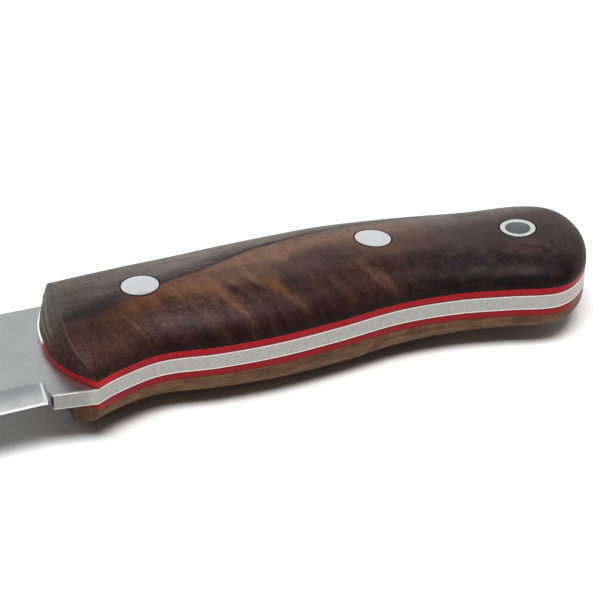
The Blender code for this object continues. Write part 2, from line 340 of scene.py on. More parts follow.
def scale_lines(quarter, side):
    """Lengthwise lines of a scale, from its front face over the crease and along the body."""
    spread = np.concatenate([-quarter, quarter[::-1][1:]])
    foot, crown, lean, offset = crease_line()
    points = []
    columns = []
    for rho in spread:
        fx, fy, cx, cy, top = [np.interp(rho, offset, part) for part in (*foot.T, *crown.T, lean)]

        def facet(t):
            return np.array([fx + (cx - fx) * t, fy + (cy - fy) * t,
                             LINER_HIGH + (CROWN_LEVEL - LINER_HIGH) * t])

        def body(x):
            return np.array([x, place_at(x, rho), section_height(x, abs(rho), 1.0 if rho > 0 else 0.0)])

        corner = facet(top)
        length = np.linalg.norm(corner - facet(0))
        back = min(CREASE_SOFTENING, 0.45 * length)
        turn_in = top * (1 - back / length) if length > 1e-6 else 0.0
        start_x = corner[0] + back
        before, after = facet(turn_in), body(start_x)
        corner = body(corner[0])
        line = [facet(turn_in * k / FACET_ROWS) for k in range(FACET_ROWS)]
        for k in range(CREASE_ROWS):
            t = k / CREASE_ROWS
            line.append(before * (1 - t) ** 2 + corner * 2 * t * (1 - t) + after * t * t)
        for k in range(BODY_ROWS + 1):
            line.append(body(start_x + (BUTT_CENTRE_X - start_x) * k / BODY_ROWS))
        columns.append(list(range(len(points), len(points) + len(line))))
        points += [(p[0], p[1], side * p[2]) for p in line]
    return points, columns


def butt_ribs(points, quarter, side):
    """Ribs of the butt from its outline to its centre. Their points are added to points."""
    around = array_of(butt_line)
    run = np.concatenate([[0], np.cumsum(np.hypot(*np.diff(around, axis=0).T))])
    even = np.linspace(0, run[-1], BUTT_RIBS + 1)
    feet = np.stack([np.interp(even, run, around[:, k]) for k in (0, 1)], 1)
    low, middle, high = across(BUTT_CENTRE_X)
    core = np.array([BUTT_CENTRE_X, middle])
    feet[0] = (BUTT_CENTRE_X, low)
    feet[-1] = (BUTT_CENTRE_X, high)
    ribs = []
    for fxy in feet:
        swing = math.atan2(fxy[1] - middle, fxy[0] - BUTT_CENTRE_X) / math.pi + 0.5
        rib = []
        for out in quarter:
            x, y = core + (fxy - core) * out
            rib.append(len(points))
            points.append((x, y, side * float(section_height(x, out, swing))))
        ribs.append(rib)
    return ribs


def scale_mesh(name, side, look):
    """A wooden scale: lines along its length, ribs round the butt and a flat base."""
    quarter = section_offsets(QUARTER_LINES)
    points, columns = scale_lines(quarter, side)
    ribs = butt_ribs(points, quarter, side)
    base = [column[0] for column in columns[::-1]] + columns[0][1:] \
        + [rib[0] for rib in ribs[1:-1]] + columns[-1][:0:-1]
    faces = strip(columns) + strip(ribs) + [tuple(base)]
    return new_object(name, points, faces, look, merge=0.003)


def blade_outline():
    """Blade and tang from the side, anticlockwise from the guard corner round the butt."""
    spine = smooth(SPINE_DROP, start=(-1, 0))
    edge = smooth(EDGE_SWEEP, end=EDGE_END)
    centre = Vector(NOTCH_CENTRE)
    notch = [centre + NOTCH_RADIUS * Vector((math.cos(a), math.sin(a)))
             for a in (math.pi * k / 16 for k in range(15, -1, -1))]
    return handle_line() + spine + edge[1:] + [Vector(HEEL)] + notch


def grind_cutter(name, side):
    """The waste of one side's bevel: a wedge swept along the edge, lifting out at the plunge."""
    slope = (STOCK - EDGE_THICKNESS) / 2 / GRIND_WIDTH
    foot = EDGE_THICKNESS / 2
    inner, outer, top = GRIND_WIDTH + 1.0, -1.5, STOCK
    sweep = smooth(EDGE_SWEEP, end=EDGE_END)
    sweep.reverse()
    halfway = [(a + b) / 2 for a, b in zip(sweep, sweep[1:])]
    straight = [Vector((PLUNGE_X + (EDGE_TURN[0] - PLUNGE_X) * k / 8, HEEL[1]
                        + (EDGE_TURN[1] - HEEL[1]) * k / 8)) for k in range(8)]
    past_tip = sweep[-1] + (sweep[-1] - sweep[-2]).normalized() * 6
    path = [(p, 0) for p in straight + halfway + [past_tip]]
    lifts = []
    for k in range(1, 17):
        turn = math.radians(5 * k)
        lifts.append((Vector((PLUNGE_X + PLUNGE_RADIUS * math.sin(turn), HEEL[1])),
                      PLUNGE_RADIUS * (1 - math.cos(turn))))
    last_point, last_lift = lifts[-1]
    lifts.append((last_point + Vector((0.12, 0)), last_lift + 0.7))
    path = lifts[::-1] + path
    points = []
    rows = []
    for i, (point, lift) in enumerate(path):
        ahead = path[min(i + 1, len(path) - 1)][0]
        behind = path[max(i - 1, 0)][0]
        run = (ahead - behind).normalized()
        if lift:
            run = Vector((-1, 0))
        inward = Vector((run.y, -run.x))
        wedge = [(outer, foot + outer * slope + lift), (inner, foot + inner * slope + lift),
                 (inner, top + 1.0), (outer, top + 1.0)]
        rows.append(list(range(len(points), len(points) + len(wedge))))
        for u, z in wedge:
            place = point + inward * u
            points.append((place.x, place.y, side * z))
    faces = strip(rows, closed=True) + [tuple(rows[0]), tuple(rows[-1])]
    return new_object(name, points, faces, None)


def pin_mesh(name, centre, look, bore=None):
    """A pin or tube through the handle, its ends following the scales, with broken edges."""
    angles = np.linspace(0, 2 * math.pi, ROUND_STEPS, endpoint=False)
    rim = 0.05
    if bore:
        chamfer = 0.07
        profile = [(bore, -0.9), (bore, -chamfer), (bore + 0.5 * chamfer, -0.3 * chamfer),
                   (bore + chamfer, 0)]
        profile += [(r, 0.012) for r in np.linspace(bore + chamfer + 0.05, PIN_RADIUS - rim, 5)]
    else:
        profile = [(r, 0.03 * (1 - (r / PIN_RADIUS) ** 2)) for r in
                   np.linspace(PIN_RADIUS - rim, 0.25, 14)[::-1]]
    profile += [(PIN_RADIUS - 0.3 * rim, -0.3 * rim), (PIN_RADIUS, -rim), (PIN_RADIUS, -3)]
    points = []
    rows = []
    for end in (1, -1):
        ordered = profile if end == 1 else profile[::-1]
        for radius, proud in ordered:
            x = centre[0] + radius * np.cos(angles)
            y = centre[1] + radius * np.sin(angles)
            z = end * (any_height(x, y) + proud)
            rows.append(list(range(len(points), len(points) + ROUND_STEPS)))
            points += list(zip(x, y, z))
    faces = strip(rows, closed=True)
    if bore:
        faces += strip([rows[-1], rows[0]], closed=True)
    else:
        faces += [tuple(rows[0]), tuple(rows[-1])]
    return new_object(name, points, faces, look, merge=0.0005)


# ---------------------------------------------------------------- shader building

# Sockets of a Mix node: factor, first colour and second colour
MIX_SOCKETS = (0, 6, 7)
MIX_RESULT = 2


class Graph:
    """The node tree of a material or world, with short calls for the nodes used here."""

    def __init__(self, name, kind="materials", shader="Principled BSDF"):
        self.owner = getattr(bpy.data, kind).new(name)
        self.owner.use_nodes = True
        self.tree = self.owner.node_tree
        self.shader = self.tree.nodes[shader]

    def plug(self, socket, value):
        if isinstance(value, bpy.types.NodeSocket):
            self.tree.links.new(value, socket)
        elif isinstance(value, (tuple, list)) and socket.type == "RGBA":
            socket.default_value = (*value[:3], 1)
        else:
            socket.default_value = value

    def node(self, kind, settings=None, **inputs):
        made = self.tree.nodes.new(kind)
        for key, value in (settings or {}).items():
            setattr(made, key, value)
        for key, value in inputs.items():
            self.plug(made.inputs[key.replace("_", " ")], value)
        return made

    def fill(self, made, values):
        for socket, value in zip(made.inputs, values):
            self.plug(socket, value)
        return made

    def math(self, operation, *values):
        made = self.node("ShaderNodeMath", {"operation": operation})
        return self.fill(made, values).outputs[0]

    def add(self, a, b):
        return self.math("ADD", a, b)

    def take(self, a, b):
        return self.math("SUBTRACT", a, b)

    def times(self, a, b):
        return self.math("MULTIPLY", a, b)

    def size(self, value):
        return self.math("ABSOLUTE", value)

    def highest(self, values):
        top = values[0]
        for value in values[1:]:
            top = self.math("MAXIMUM", top, value)
        return top

    def dim(self, value, mask, depth):
        """value, lowered by a share of depth where the mask is 1."""
        return self.times(value, self.take(1.0, self.times(mask, depth)))

    def vector(self, operation, *values):
        made = self.node("ShaderNodeVectorMath", {"operation": operation})
        single = operation in ("LENGTH", "DOT_PRODUCT")
        return self.fill(made, values).outputs["Value" if single else "Vector"]

    def parts(self, vector):
        made = self.node("ShaderNodeSeparateXYZ", Vector=vector)
        return made.outputs[0], made.outputs[1], made.outputs[2]

    def join(self, x, y, z):
        return self.node("ShaderNodeCombineXYZ", X=x, Y=y, Z=z).outputs[0]

    def distance(self, x, y, centre):
        """Distance from an axis through centre, across the flat of the knife."""
        away = self.join(self.take(x, centre[0]), self.take(y, centre[1]), 0)
        return self.vector("LENGTH", away)

    def normal(self):
        return self.parts(self.node("ShaderNodeNewGeometry").outputs["Normal"])

    def step(self, value, low, high, out_low=0.0, out_high=1.0):
        """Smooth rise of value from low to high; low may be the larger one."""
        made = self.node("ShaderNodeMapRange", {"interpolation_type": "SMOOTHSTEP"})
        settings = (value, low, high, out_low, out_high)
        if low > high:
            settings = (value, high, low, out_high, out_low)
        return self.fill(made, settings).outputs[0]

    def noise(self, vector, scale=1.0, detail=2.0, roughness=0.5, distortion=0.0, colour=False):
        made = self.node("ShaderNodeTexNoise", Vector=vector, Scale=scale, Detail=detail,
                         Roughness=roughness, Distortion=distortion)
        return made.outputs["Color" if colour else "Fac"]

    def uneven(self, vector, scale, detail, roughness):
        """Noise round zero."""
        return self.take(self.noise(vector, scale, detail, roughness), 0.5)

    def drift(self, vector, scale, detail, roughness):
        """Noise round zero in three directions."""
        wander = self.noise(vector, scale, detail, roughness, colour=True)
        return self.vector("SUBTRACT", wander, (0.5, 0.5, 0.5))

    def mix(self, factor, a, b, blend="MIX"):
        made = self.node("ShaderNodeMix", {"data_type": "RGBA", "blend_type": blend})
        for index, value in zip(MIX_SOCKETS, (factor, a, b)):
            self.plug(made.inputs[index], value)
        return made.outputs[MIX_RESULT]

    def tint(self, colour, mask, strength, tone):
        """The colour, turned into tone by a share of strength where the mask is 1."""
        return self.mix(self.times(mask, strength), colour, tone)

    def drawing(self):
        """Position in the knife's drawing, in millimetres."""
        place = self.node("ShaderNodeTexCoord").outputs["Object"]
        large = self.vector("SCALE", place)
        large.node.inputs["Scale"].default_value = 1 / MM
        return self.vector("SUBTRACT", large, tuple(SHIFT))

    def stretch(self, vector, x, y, z):
        return self.vector("MULTIPLY", vector, (x, y, z))

    def curve(self, value, points, x_range, y_range):
        """A smooth function of value through the given points."""
        inside = self.fill(self.node("ShaderNodeMapRange"), (value, *x_range, 0, 1))
        made = self.node("ShaderNodeFloatCurve", Value=inside.outputs[0])
        line = made.mapping.curves[0]
        spots = [((x - x_range[0]) / (x_range[1] - x_range[0]),
                  (y - y_range[0]) / (y_range[1] - y_range[0])) for x, y in points]
        line.points[0].location = spots[0]
        line.points[1].location = spots[-1]
        for spot in spots[1:-1]:
            line.points.new(*spot)
        made.mapping.update()
        return self.add(self.times(made.outputs[0], y_range[1] - y_range[0]), y_range[0])

    def bump(self, height, depth, strength=1.0, after=None):
        made = self.node("ShaderNodeBump", Height=height, Strength=strength, Distance=depth * MM)
        if after is not None:
            self.plug(made.inputs["Normal"], after)
        return made.outputs[0]

    def finish(self, **inputs):
        for key, value in inputs.items():
            self.plug(self.shader.inputs[key.replace("_", " ")], value)
        return self.owner


# ---------------------------------------------------------------- wood

# Lower edge of the slate band, from the front to the butt, and the ranges it is drawn in
BOUNDARY = [(-6, -19.6), (-0.7, -18.3), (3.5, -17.4), (6.8, -16.1), (12.7, -13.8), (17.7, -12.4),
            (21, -11.4), (25, -10.1), (28.5, -8.9), (32, -7.7), (39, -6.7), (49, -5.6),
            (60, -4.4), (95, -3)]
BOUNDARY_X = (-6, 95)
BOUNDARY_Y = (-20, 0)

# Darker clouds of the figure: centre, radii, turn in degrees and how dark
SHADED_SPOTS = [((54, -15.4), (10.5, 4.8), -5, 0.46), ((29.5, -15), (6.5, 2.8), -10, 0.27),
                ((2.5, -17), (5.5, 5), 0, 0.36), ((8.5, -13.2), (4.8, 2.2), 20, 0.26),
                ((87.5, -21.5), (6, 5), 0, 0.28), ((75.5, -6.2), (3.6, 1.8), 0, 0.38),
                ((77, -17.3), (5.5, 2.2), 0, 0.28), ((40, -20.3), (5.5, 3.6), 0, 0.24),
                ((0, -11), (2.8, 2.8), 0, 0.25)]
SPOT_SOFTNESS = 1.2

# Gold streaks across the grain: centre, half width, top, bottom, taper and strength
FLAMES = [(21.6, 2, -15, -24.8, 0.25, 1), (30.4, 3, -16.4, -25, 0.3, 1),
          (5.6, 0.9, -16, -23.6, 0.5, 0.7), (1.3, 0.8, -18, -24.6, 0.5, 0.7),
          (37.3, 0.5, -17, -20.6, 0.3, 0.7)]

# Single soft patches: centre, radii, turn in degrees and softness
DARK_PATCH = ((41, -15.9), (8.2, 4.2), 14, 0.8)
CORNER_GLOW = ((3.6, -24.4), (4.2, 1.8), 12, 1)
# Painted sheen highlight: a pale speckled patch where the belly rounding reflects the light
PAINTED_SHEEN_PATCH = ((19, -20.7), (9.5, 2.1), -6, 1.1)
SLANTED_STREAK = ((51.7, -20.8), (3.3, 0.95), -37, 0.9)
RUDDY_PATCH = ((79.3, -20.4), (3, 1.8), 10, 1)

# Wood tones. Pairs are the dark and the pale end of a mottled tone
SLATE_NEAR_EDGE = (0.04, 0.03, 0.034)
SLATE_MIDDLE = (0.078, 0.064, 0.058)
SLATE_SPINE = (0.096, 0.078, 0.067)
SLATE_PALE = (0.15, 0.128, 0.106)
SLATE_REAR = (0.142, 0.121, 0.1)
STREAK_PALE = (0.125, 0.09, 0.07)
STREAK_DARK = (0.04, 0.031, 0.034)
SLATE_LINE = (0.02, 0.015, 0.016)
SLATE_FRONT = (0.024, 0.019, 0.022)
HONEY_FRONT = ((0.082, 0.031, 0.016), (0.122, 0.05, 0.024))
HONEY_REAR = ((0.112, 0.06, 0.043), (0.172, 0.096, 0.068))
PLUM = ((0.027, 0.0105, 0.01), (0.062, 0.026, 0.02))
PATCH_TONE = (0.044, 0.029, 0.027)
ASHEN = (0.15, 0.13, 0.112)
REAR = ((0.047, 0.031, 0.031), (0.148, 0.13, 0.116))
FRONT_TONE = (0.058, 0.026, 0.021)
GLOW_TONE = (0.108, 0.044, 0.036)
GOLD = ((0.1, 0.042, 0.021), (0.16, 0.07, 0.034))
# Tone of the painted sheen highlight on the belly rounding
PAINTED_SHEEN_TONE = (0.104, 0.064, 0.05)
SLANTED_TONE = (0.124, 0.058, 0.043)
RUDDY_TONE = (0.07, 0.036, 0.032)
NIGHT = ((0.01, 0.0065, 0.009), (0.042, 0.018, 0.017))
NIGHT_LINE = (0.013, 0.01, 0.013)
GOLDEN_SAP = ((0.15, 0.066, 0.034), (0.262, 0.14, 0.064))
GLUE_STAIN = (0.01, 0.008, 0.008)
END_GRAIN = ((0.04, 0.03, 0.026), (0.136, 0.104, 0.07))
END_GRAIN_TOP = (0.04, 0.034, 0.036)
END_GRAIN_LOW = ((0.032, 0.0145, 0.013), (0.082, 0.038, 0.026))
# Painted highlight along the front crease
PAINTED_CREASE_HIGHLIGHT = (0.165, 0.122, 0.108)


def flame(g, u, y, centre, half_width, top, bottom, taper):
    """A streak across the grain: u is the bent x, and y runs from bottom to top."""
    run = g.step(y, bottom, top)
    width = g.add(g.times(run, half_width * (1 - taper)), half_width * taper)
    distance = g.math("DIVIDE", g.size(g.take(u, centre)), width)
    over = g.step(distance, 1.05, 0)
    within = g.times(g.step(y, bottom, bottom + 1.6), g.step(y, top, top - 1.6))
    return g.times(over, within)


def blob(g, x, y, centre, radii, turn, soft):
    """A soft oval patch, turned by turn degrees."""
    c, s = math.cos(math.radians(turn)), math.sin(math.radians(turn))
    dx, dy = g.take(x, centre[0]), g.take(y, centre[1])
    along = g.add(g.times(dx, c / radii[0]), g.times(dy, s / radii[0]))
    over = g.add(g.times(dx, -s / radii[1]), g.times(dy, c / radii[1]))
    reach = g.math("SQRT", g.add(g.math("POWER", along, 2), g.math("POWER", over, 2)))
    return g.step(reach, 1.0 + soft / 2, 1.0 - soft / 2)


class Walnut:
    """Oiled walnut with a slate band along the spine and gold streaks across the grain.

    golden lightens the belly side, as on the lower scale. x, y and z follow the bent grain, and
    true_x, true_y and height are the drawing's own.
    """

    def __init__(self, name, golden):
        g = Graph(name)
        self.g = g
        self.golden = golden
        self.place = g.drawing()
        self.true_x, self.true_y, true_z = g.parts(self.place)
        self.height = g.size(true_z)
        drift = g.drift(self.place, 0.11, 3, 0.55)
        self.fine_drift = g.drift(self.place, 0.6, 2, 0.5)
        bent = g.vector("ADD", self.place, g.stretch(drift, 3, 2.2, 2))
        self.bent = g.vector("ADD", bent, g.stretch(self.fine_drift, 0.7, 0.5, 0.4))
        self.x, self.y, self.z = g.parts(self.bent)

        self.edge = g.take(self.y, g.curve(self.x, BOUNDARY, BOUNDARY_X, BOUNDARY_Y))
        self.clear = g.times(g.step(self.x, 4, 15), g.step(self.x, 50, 38))
        soft = g.step(self.edge, -2.6, 2.6)
        crisp = g.step(self.edge, -0.35, 0.35)
        self.band = g.mix(self.clear, soft, crisp)

        below = g.math("MINIMUM", g.add(self.y, 10), 0)
        self.curl_x = g.take(self.x, g.times(g.math("POWER", below, 2), 0.029))
        curl_place = g.join(self.curl_x, g.times(self.y, 0.13), g.times(self.z, 0.2))
        self.curl = g.take(g.noise(curl_place, 0.42, 3, 0.55), 0.5)
        self.low_area = g.step(g.add(self.y, g.times(self.curl, 5)), -15.3, -19.8)

        self.fibre = g.noise(g.stretch(self.bent, 0.16, 2, 2), 1, 4, 0.62)
        speck = g.noise(g.stretch(self.place, 0.9, 9, 9), 1, 1, 0.4)
        self.pores = g.step(speck, 0.655, 0.72)

    def slate(self):
        """The grey-brown band along the spine, darkest along its lower edge."""
        g, x, edge = self.g, self.x, self.edge
        tone = g.mix(g.step(edge, 0.2, 5), SLATE_NEAR_EDGE, SLATE_MIDDLE)
        tone = g.mix(g.step(edge, 4, 11), tone, SLATE_SPINE)
        tone = g.mix(g.times(g.step(x, 5, 25), g.step(edge, 1.4, 5)), tone, SLATE_PALE)
        tone = g.mix(g.times(g.step(x, 26, 35), g.step(edge, 0.5, 1.8)), tone, SLATE_REAR)
        streak = g.noise(g.stretch(self.place, 0.13, 1.6, 1.6), 1, 3, 0.6)
        tone = g.tint(tone, g.step(streak, 0.52, 0.66), 0.55, STREAK_PALE)
        tone = g.tint(tone, g.step(streak, 0.46, 0.36), 0.55, STREAK_DARK)
        line = g.times(g.step(g.size(g.take(edge, 0.45)), 0.55, 0), self.clear)
        tone = g.tint(tone, line, 0.65, SLATE_LINE)
        front = g.times(g.step(x, 12, 4), g.step(g.size(g.take(edge, 1.2)), 3, 0.6))
        return g.tint(tone, front, 0.8, SLATE_FRONT)

    def honey_and_plum(self):
        """The curled honey area, the plum one below it, and the patches on them."""
        g, x, y = self.g, self.x, self.y
        pale = g.step(x, 10, 36)
        honey_low = g.mix(pale, HONEY_FRONT[0], HONEY_REAR[0])
        honey_high = g.mix(pale, HONEY_FRONT[1], HONEY_REAR[1])
        calm = g.add(g.times(self.curl, g.step(x, 38, 52, 1, 0.35)), 0.5)
        honey = g.mix(g.step(calm, 0.17, 0.79), honey_low, honey_high)
        plum = g.mix(g.step(calm, 0.32, 0.72), *PLUM)
        tone = g.mix(self.low_area, honey, plum)
        frayed_x = g.add(x, g.times(g.uneven(self.place, 0.35, 3, 0.6), 7))
        tone = g.tint(tone, blob(g, frayed_x, y, *DARK_PATCH), 0.8, PATCH_TONE)
        ashen = g.times(g.step(x, 38, 52), g.step(y, -9.5, -5))
        return g.tint(tone, ashen, 0.75, ASHEN)

    def ends(self, tone):
        """Fades tone into the grey rear and the plain front, with a glow at the guard corner."""
        g, x, y = self.g, self.x, self.y
        shifted_x = g.add(x, g.times(g.add(y, 14), -0.35))
        shifted_x = g.add(shifted_x, g.times(g.uneven(self.place, 0.28, 3, 0.6), 14))
        rear_tone = g.mix(g.step(y, -12.5, -4), *REAR)
        tone = g.mix(g.step(shifted_x, 52, 70), tone, rear_tone)
        tone = g.tint(tone, g.step(x, 6, 1), 0.75, FRONT_TONE)
        return g.tint(tone, blob(g, x, y, *CORNER_GLOW), 0.6, GLOW_TONE)

    def streaks(self, tone):
        """Gold streaks across the grain, other streaks and patches, and a painted sheen highlight."""
        g, x, y = self.g, self.x, self.y
        flames = g.highest([g.times(flame(g, self.curl_x, y, *shape), strength)
                            for *shape, strength in FLAMES])
        fleck = g.noise(g.stretch(self.place, 1, 2.6, 2.6), 1, 3, 0.7)
        # painted highlight: speckled sheen on the belly rounding
        painted_sheen = g.times(blob(g, x, y, *PAINTED_SHEEN_PATCH), g.step(fleck, 0.4, 0.62, 0.12, 0.46))
        tone = g.mix(painted_sheen, tone, PAINTED_SHEEN_TONE)
        gold = g.mix(g.noise(self.place, 1.4, 2), *GOLD)
        tone = g.tint(tone, flames, 0.8, gold)
        tone = g.tint(tone, blob(g, x, y, *SLANTED_STREAK), 0.7, SLANTED_TONE)
        return g.tint(tone, blob(g, x, y, *RUDDY_PATCH), 0.6, RUDDY_TONE)

    def dark_layers(self, colour):
        """Nearly black layers under the rear belly, sagging towards the butt."""
        g, x, place = self.g, self.x, self.place
        sag = g.math("POWER", g.math("MAXIMUM", g.take(x, 58), 0), 2)
        layer = g.add(g.add(self.y, 17.2), g.times(sag, 0.0085))
        waver = g.uneven(g.stretch(place, 0.5, 1, 1), 0.5, 3, 0.6)
        layer = g.add(layer, g.times(waver, 3.4))
        below = g.times(g.step(layer, 1.4, -2.4), g.step(x, 52, 64))
        mottled = g.noise(g.stretch(place, 0.6, 1, 1), 0.55, 3, 0.6)
        colour = g.tint(colour, below, 0.82, g.mix(g.step(mottled, 0.42, 0.64), *NIGHT))
        thin = g.times(g.step(g.size(layer), 0.5, 0), g.step(x, 55, 60))
        return g.tint(colour, thin, 0.4, NIGHT_LINE)

    def grain_gain(self):
        """Brightness of the grain, mottling and scratches, liveliest on the plum."""
        g = self.g
        lively = g.times(self.low_area, g.take(1.0, self.band))
        lively = g.times(lively, 0.0 if self.golden else 1.0)
        grain = g.uneven(g.stretch(self.place, 1, 1.5, 1.5), 2.6, 3, 0.8)
        gain = g.add(g.times(grain, g.add(lively, 1.7)), 1)
        mottling = g.uneven(g.stretch(self.bent, 0.75, 0.35, 0.7), 1, 3, 0.55)
        gain = g.add(gain, g.times(mottling, g.add(lively, 0.3)))
        scratched = g.vector("ADD", self.place, g.stretch(self.fine_drift, 2.5, 2.5, 2.5))
        scratch = g.step(g.noise(g.stretch(scratched, 0.8, 7, 7), 1, 2, 0.5), 0.66, 0.76)
        gain = g.add(gain, g.times(scratch, g.add(g.times(lively, 0.6), 0.15)))
        return g.math("MAXIMUM", gain, 0.25)

    def gain(self):
        """Brightness of the layers, fibres, ripples, grain, pores and darker clouds, and painted shade
        low on the belly side.
        """
        g, x, y, z, band = self.g, self.x, self.y, self.z, self.band
        layers = g.add(g.add(z, g.times(y, 0.16)), g.times(x, 0.012))
        rings = g.times(g.step(g.math("SINE", g.times(layers, 5.2)), -0.2, 1), 0.12)
        fibre = g.times(self.fibre, g.add(g.times(band, 0.95), 0.22))
        fibre = g.add(fibre, g.take(0.89, g.times(band, 0.475)))
        ripple_place = g.join(g.times(self.curl_x, 0.95), g.times(y, 0.16), g.times(z, 0.3))
        ripple = g.step(g.noise(ripple_place, 1, 3, 0.6, 0.6), 0.3, 0.7, 0.91, 1.09)
        calmed = g.times(g.take(1.0, ripple), g.take(1.0, g.times(band, 0.6)))
        gain = g.times(g.times(fibre, g.take(1.0, calmed)), g.take(1.0, rings))
        gain = g.times(gain, self.grain_gain())
        gain = g.dim(gain, self.pores, 0.35)
        for centre, radii, turn, depth in SHADED_SPOTS:
            gain = g.dim(gain, blob(g, x, y, centre, radii, turn, SPOT_SOFTNESS), depth)
        # painted shade: the upper scale darkens where it drops towards the liner on its belly side
        shadowed = g.times(g.step(self.height, 8, 3.2), g.step(self.true_y, -13, -19))
        return g.dim(gain, shadowed, 0.62 * (1 - self.golden))

    def sapwood(self, colour):
        """The paler, golden belly side of the lower scale."""
        g = self.g
        light = g.times(g.step(self.true_y, -10, -20), self.golden)
        figure = g.noise(g.stretch(self.bent, 0.24, 0.5, 0.8), 1, 3, 0.55)
        return g.mix(light, colour, g.mix(g.step(figure, 0.36, 0.62), *GOLDEN_SAP))

    def glue_stains(self, colour):
        """Dark rings in the wood round the pins and the tube."""
        g = self.g
        for centre in (FRONT_PIN, REAR_PIN, TUBE):
            reach = g.distance(self.true_x, self.true_y, centre)
            stain = g.step(reach, PIN_RADIUS + 0.42, PIN_RADIUS + 0.18)
            colour = g.tint(colour, stain, 0.75, GLUE_STAIN)
        return colour

    def front_face(self, colour):
        """End grain on the leaning front face, and a painted highlight along the crease where it meets
        the side.
        """
        g, x, height = self.g, self.x, self.height
        facing = g.normal()[0]
        end_face = g.times(g.step(facing, -0.3, -0.55), g.step(x, 5, 2.5))
        wave_place = g.join(g.times(height, 0.3), g.times(self.y, 0.1), g.times(x, 0.1))
        wave = g.times(g.noise(wave_place, 1, 3, 0.6), 14)
        wave = g.math("SINE", g.add(g.times(height, 3.6), wave))
        tone = g.mix(g.step(wave, -0.5, 0.8), *END_GRAIN)
        tone = g.tint(tone, g.step(height, 5.2, 7), 0.85, END_GRAIN_TOP)
        ember = g.noise(g.stretch(self.place, 0.8, 1.2, 1.2), 1, 4, 0.65)
        low_tone = g.mix(g.step(ember, 0.42, 0.68), *END_GRAIN_LOW)
        tone = g.mix(g.step(self.true_y, -13, -18), tone, low_tone)
        colour = g.tint(colour, end_face, 0.85 * (1 - self.golden), tone)

        # painted highlight: a pale line along the crease between front face and side, on the belly half
        # and high up
        crease_highlight = g.times(g.step(facing, -0.1, -0.24), g.step(facing, -0.62, -0.42))
        lit = g.times(g.step(self.true_y, -13.5, -17), g.step(height, 4.2, 6.4))
        crease_highlight = g.times(g.times(crease_highlight, lit), g.step(x, 4, 2))
        return g.tint(colour, crease_highlight, 0.5, PAINTED_CREASE_HIGHLIGHT)

    def colour(self):
        """The whole figure, from its large areas to the painted crease highlight."""
        g = self.g
        middle = self.streaks(self.ends(self.honey_and_plum()))
        colour = self.dark_layers(g.mix(self.band, middle, self.slate()))
        gain = self.gain()
        if self.golden:
            colour = self.sapwood(colour)
        colour = g.mix(1.0, colour, g.join(gain, gain, gain), "MULTIPLY")
        return self.front_face(self.glue_stains(colour))

    def finish(self):
        """The material, with the roughness and relief of its fibres, pores and scuffs."""
        g = self.g
        colour = self.colour()
        roughness = g.add(g.step(self.fibre, 0.3, 0.7, 0.5, 0.42), g.times(self.pores, 0.2))
        roughness = g.add(roughness, g.times(g.uneven(self.place, 0.35, 3, 0.6), 0.12))
        relief = g.bump(g.take(1.0, self.pores), 0.02, 0.5)
        relief = g.bump(self.fibre, 0.02, 0.35, relief)
        scuffs = g.noise(g.stretch(self.place, 2.5, 9, 9), 1, 2, 0.6)
        relief = g.bump(scuffs, 0.004, 0.5, relief)
        return g.finish(Base_Color=colour, Roughness=roughness, Normal=relief,
                        Specular_IOR_Level=0.09, IOR=1.47)


# ---------------------------------------------------------------- metals and fibre

# Steel tones
FLAT_STEEL = ((0.46, 0.47, 0.47), (0.52, 0.53, 0.525))
SATIN_LINE = (0.66, 0.66, 0.66)
BEVEL_STEEL = ((0.5, 0.505, 0.52), (0.84, 0.845, 0.84))
SAWN_SIDE = ((0.315, 0.314, 0.298), (0.446, 0.442, 0.416))
DULL_SIDE = (0.205, 0.205, 0.2)
# Painted highlights along the arrises of the sawn side
FRONT_ARRIS_HIGHLIGHT = (0.52, 0.5, 0.48)
UPPER_ARRIS_HIGHLIGHT = (0.9, 0.89, 0.87)
TANG_ARRIS_HIGHLIGHT = (0.86, 0.74, 0.72)
# Painted shade inside the sharpening notch
NOTCH_PAINTED_SHADE = (0.03, 0.03, 0.03)
# Painted highlights on the plunge and along the cutting edge
PLUNGE_HIGHLIGHT = (0.9, 0.905, 0.91)
EDGE_HIGHLIGHT = (0.93, 0.935, 0.94)
PIT = (0.22, 0.21, 0.2)
PIN_STEEL = ((0.67, 0.685, 0.69), (0.76, 0.775, 0.78))
# Painted shade on the tube's outer wall
TUBE_WALL_SHADE = (0.06, 0.052, 0.048)
# Bore steel at its mouth and deeper in, where it is darker as painted shade
BORE_STEEL_AND_SHADE = ((0.58, 0.585, 0.59), (0.36, 0.365, 0.37))

# Fibre tones
RED = ((0.29, 0.006, 0.011), (0.37, 0.01, 0.017))
RED_LINE = (0.46, 0.04, 0.04)
RED_CORNER = (0.5, 0.008, 0.02)
# Painted shade on the lower liner
RED_SHADE_UNDER = (0.16, 0.01, 0.01)
# Painted shade in the liners next to the steel
RED_SHADE_AT_STEEL = (0.1, 0.006, 0.008)
RED_AT_WOOD = (0.09, 0.016, 0.012)
# Painted reflection on the liners' front ends
LEDGE_PAINTED_REFLECTION = (0.86, 0.8, 0.72)


def steel_side(g, place):
    """The sawn side of the steel: gritty, dull before the handle, with painted highlights along its
    arrises.
    """
    x, y, z = g.parts(place)
    grit = g.noise(place, 4, 2, 0.7)
    tone = g.mix(g.step(grit, 0.36, 0.64), *SAWN_SIDE)
    tone = g.tint(tone, g.step(x, -0.5, -2.5), 0.55, DULL_SIDE)
    # painted highlight: pale lines along both arrises of the sawn side
    arris_highlight = g.mix(g.step(x, -2, 1), FRONT_ARRIS_HIGHLIGHT, TANG_ARRIS_HIGHLIGHT)
    upper_front = g.times(g.step(x, -2, -4), g.step(z, 0, 0.5))
    arris_highlight = g.mix(upper_front, arris_highlight, UPPER_ARRIS_HIGHLIGHT)
    return g.mix(g.step(g.size(z), 1.16, 1.26), tone, arris_highlight)


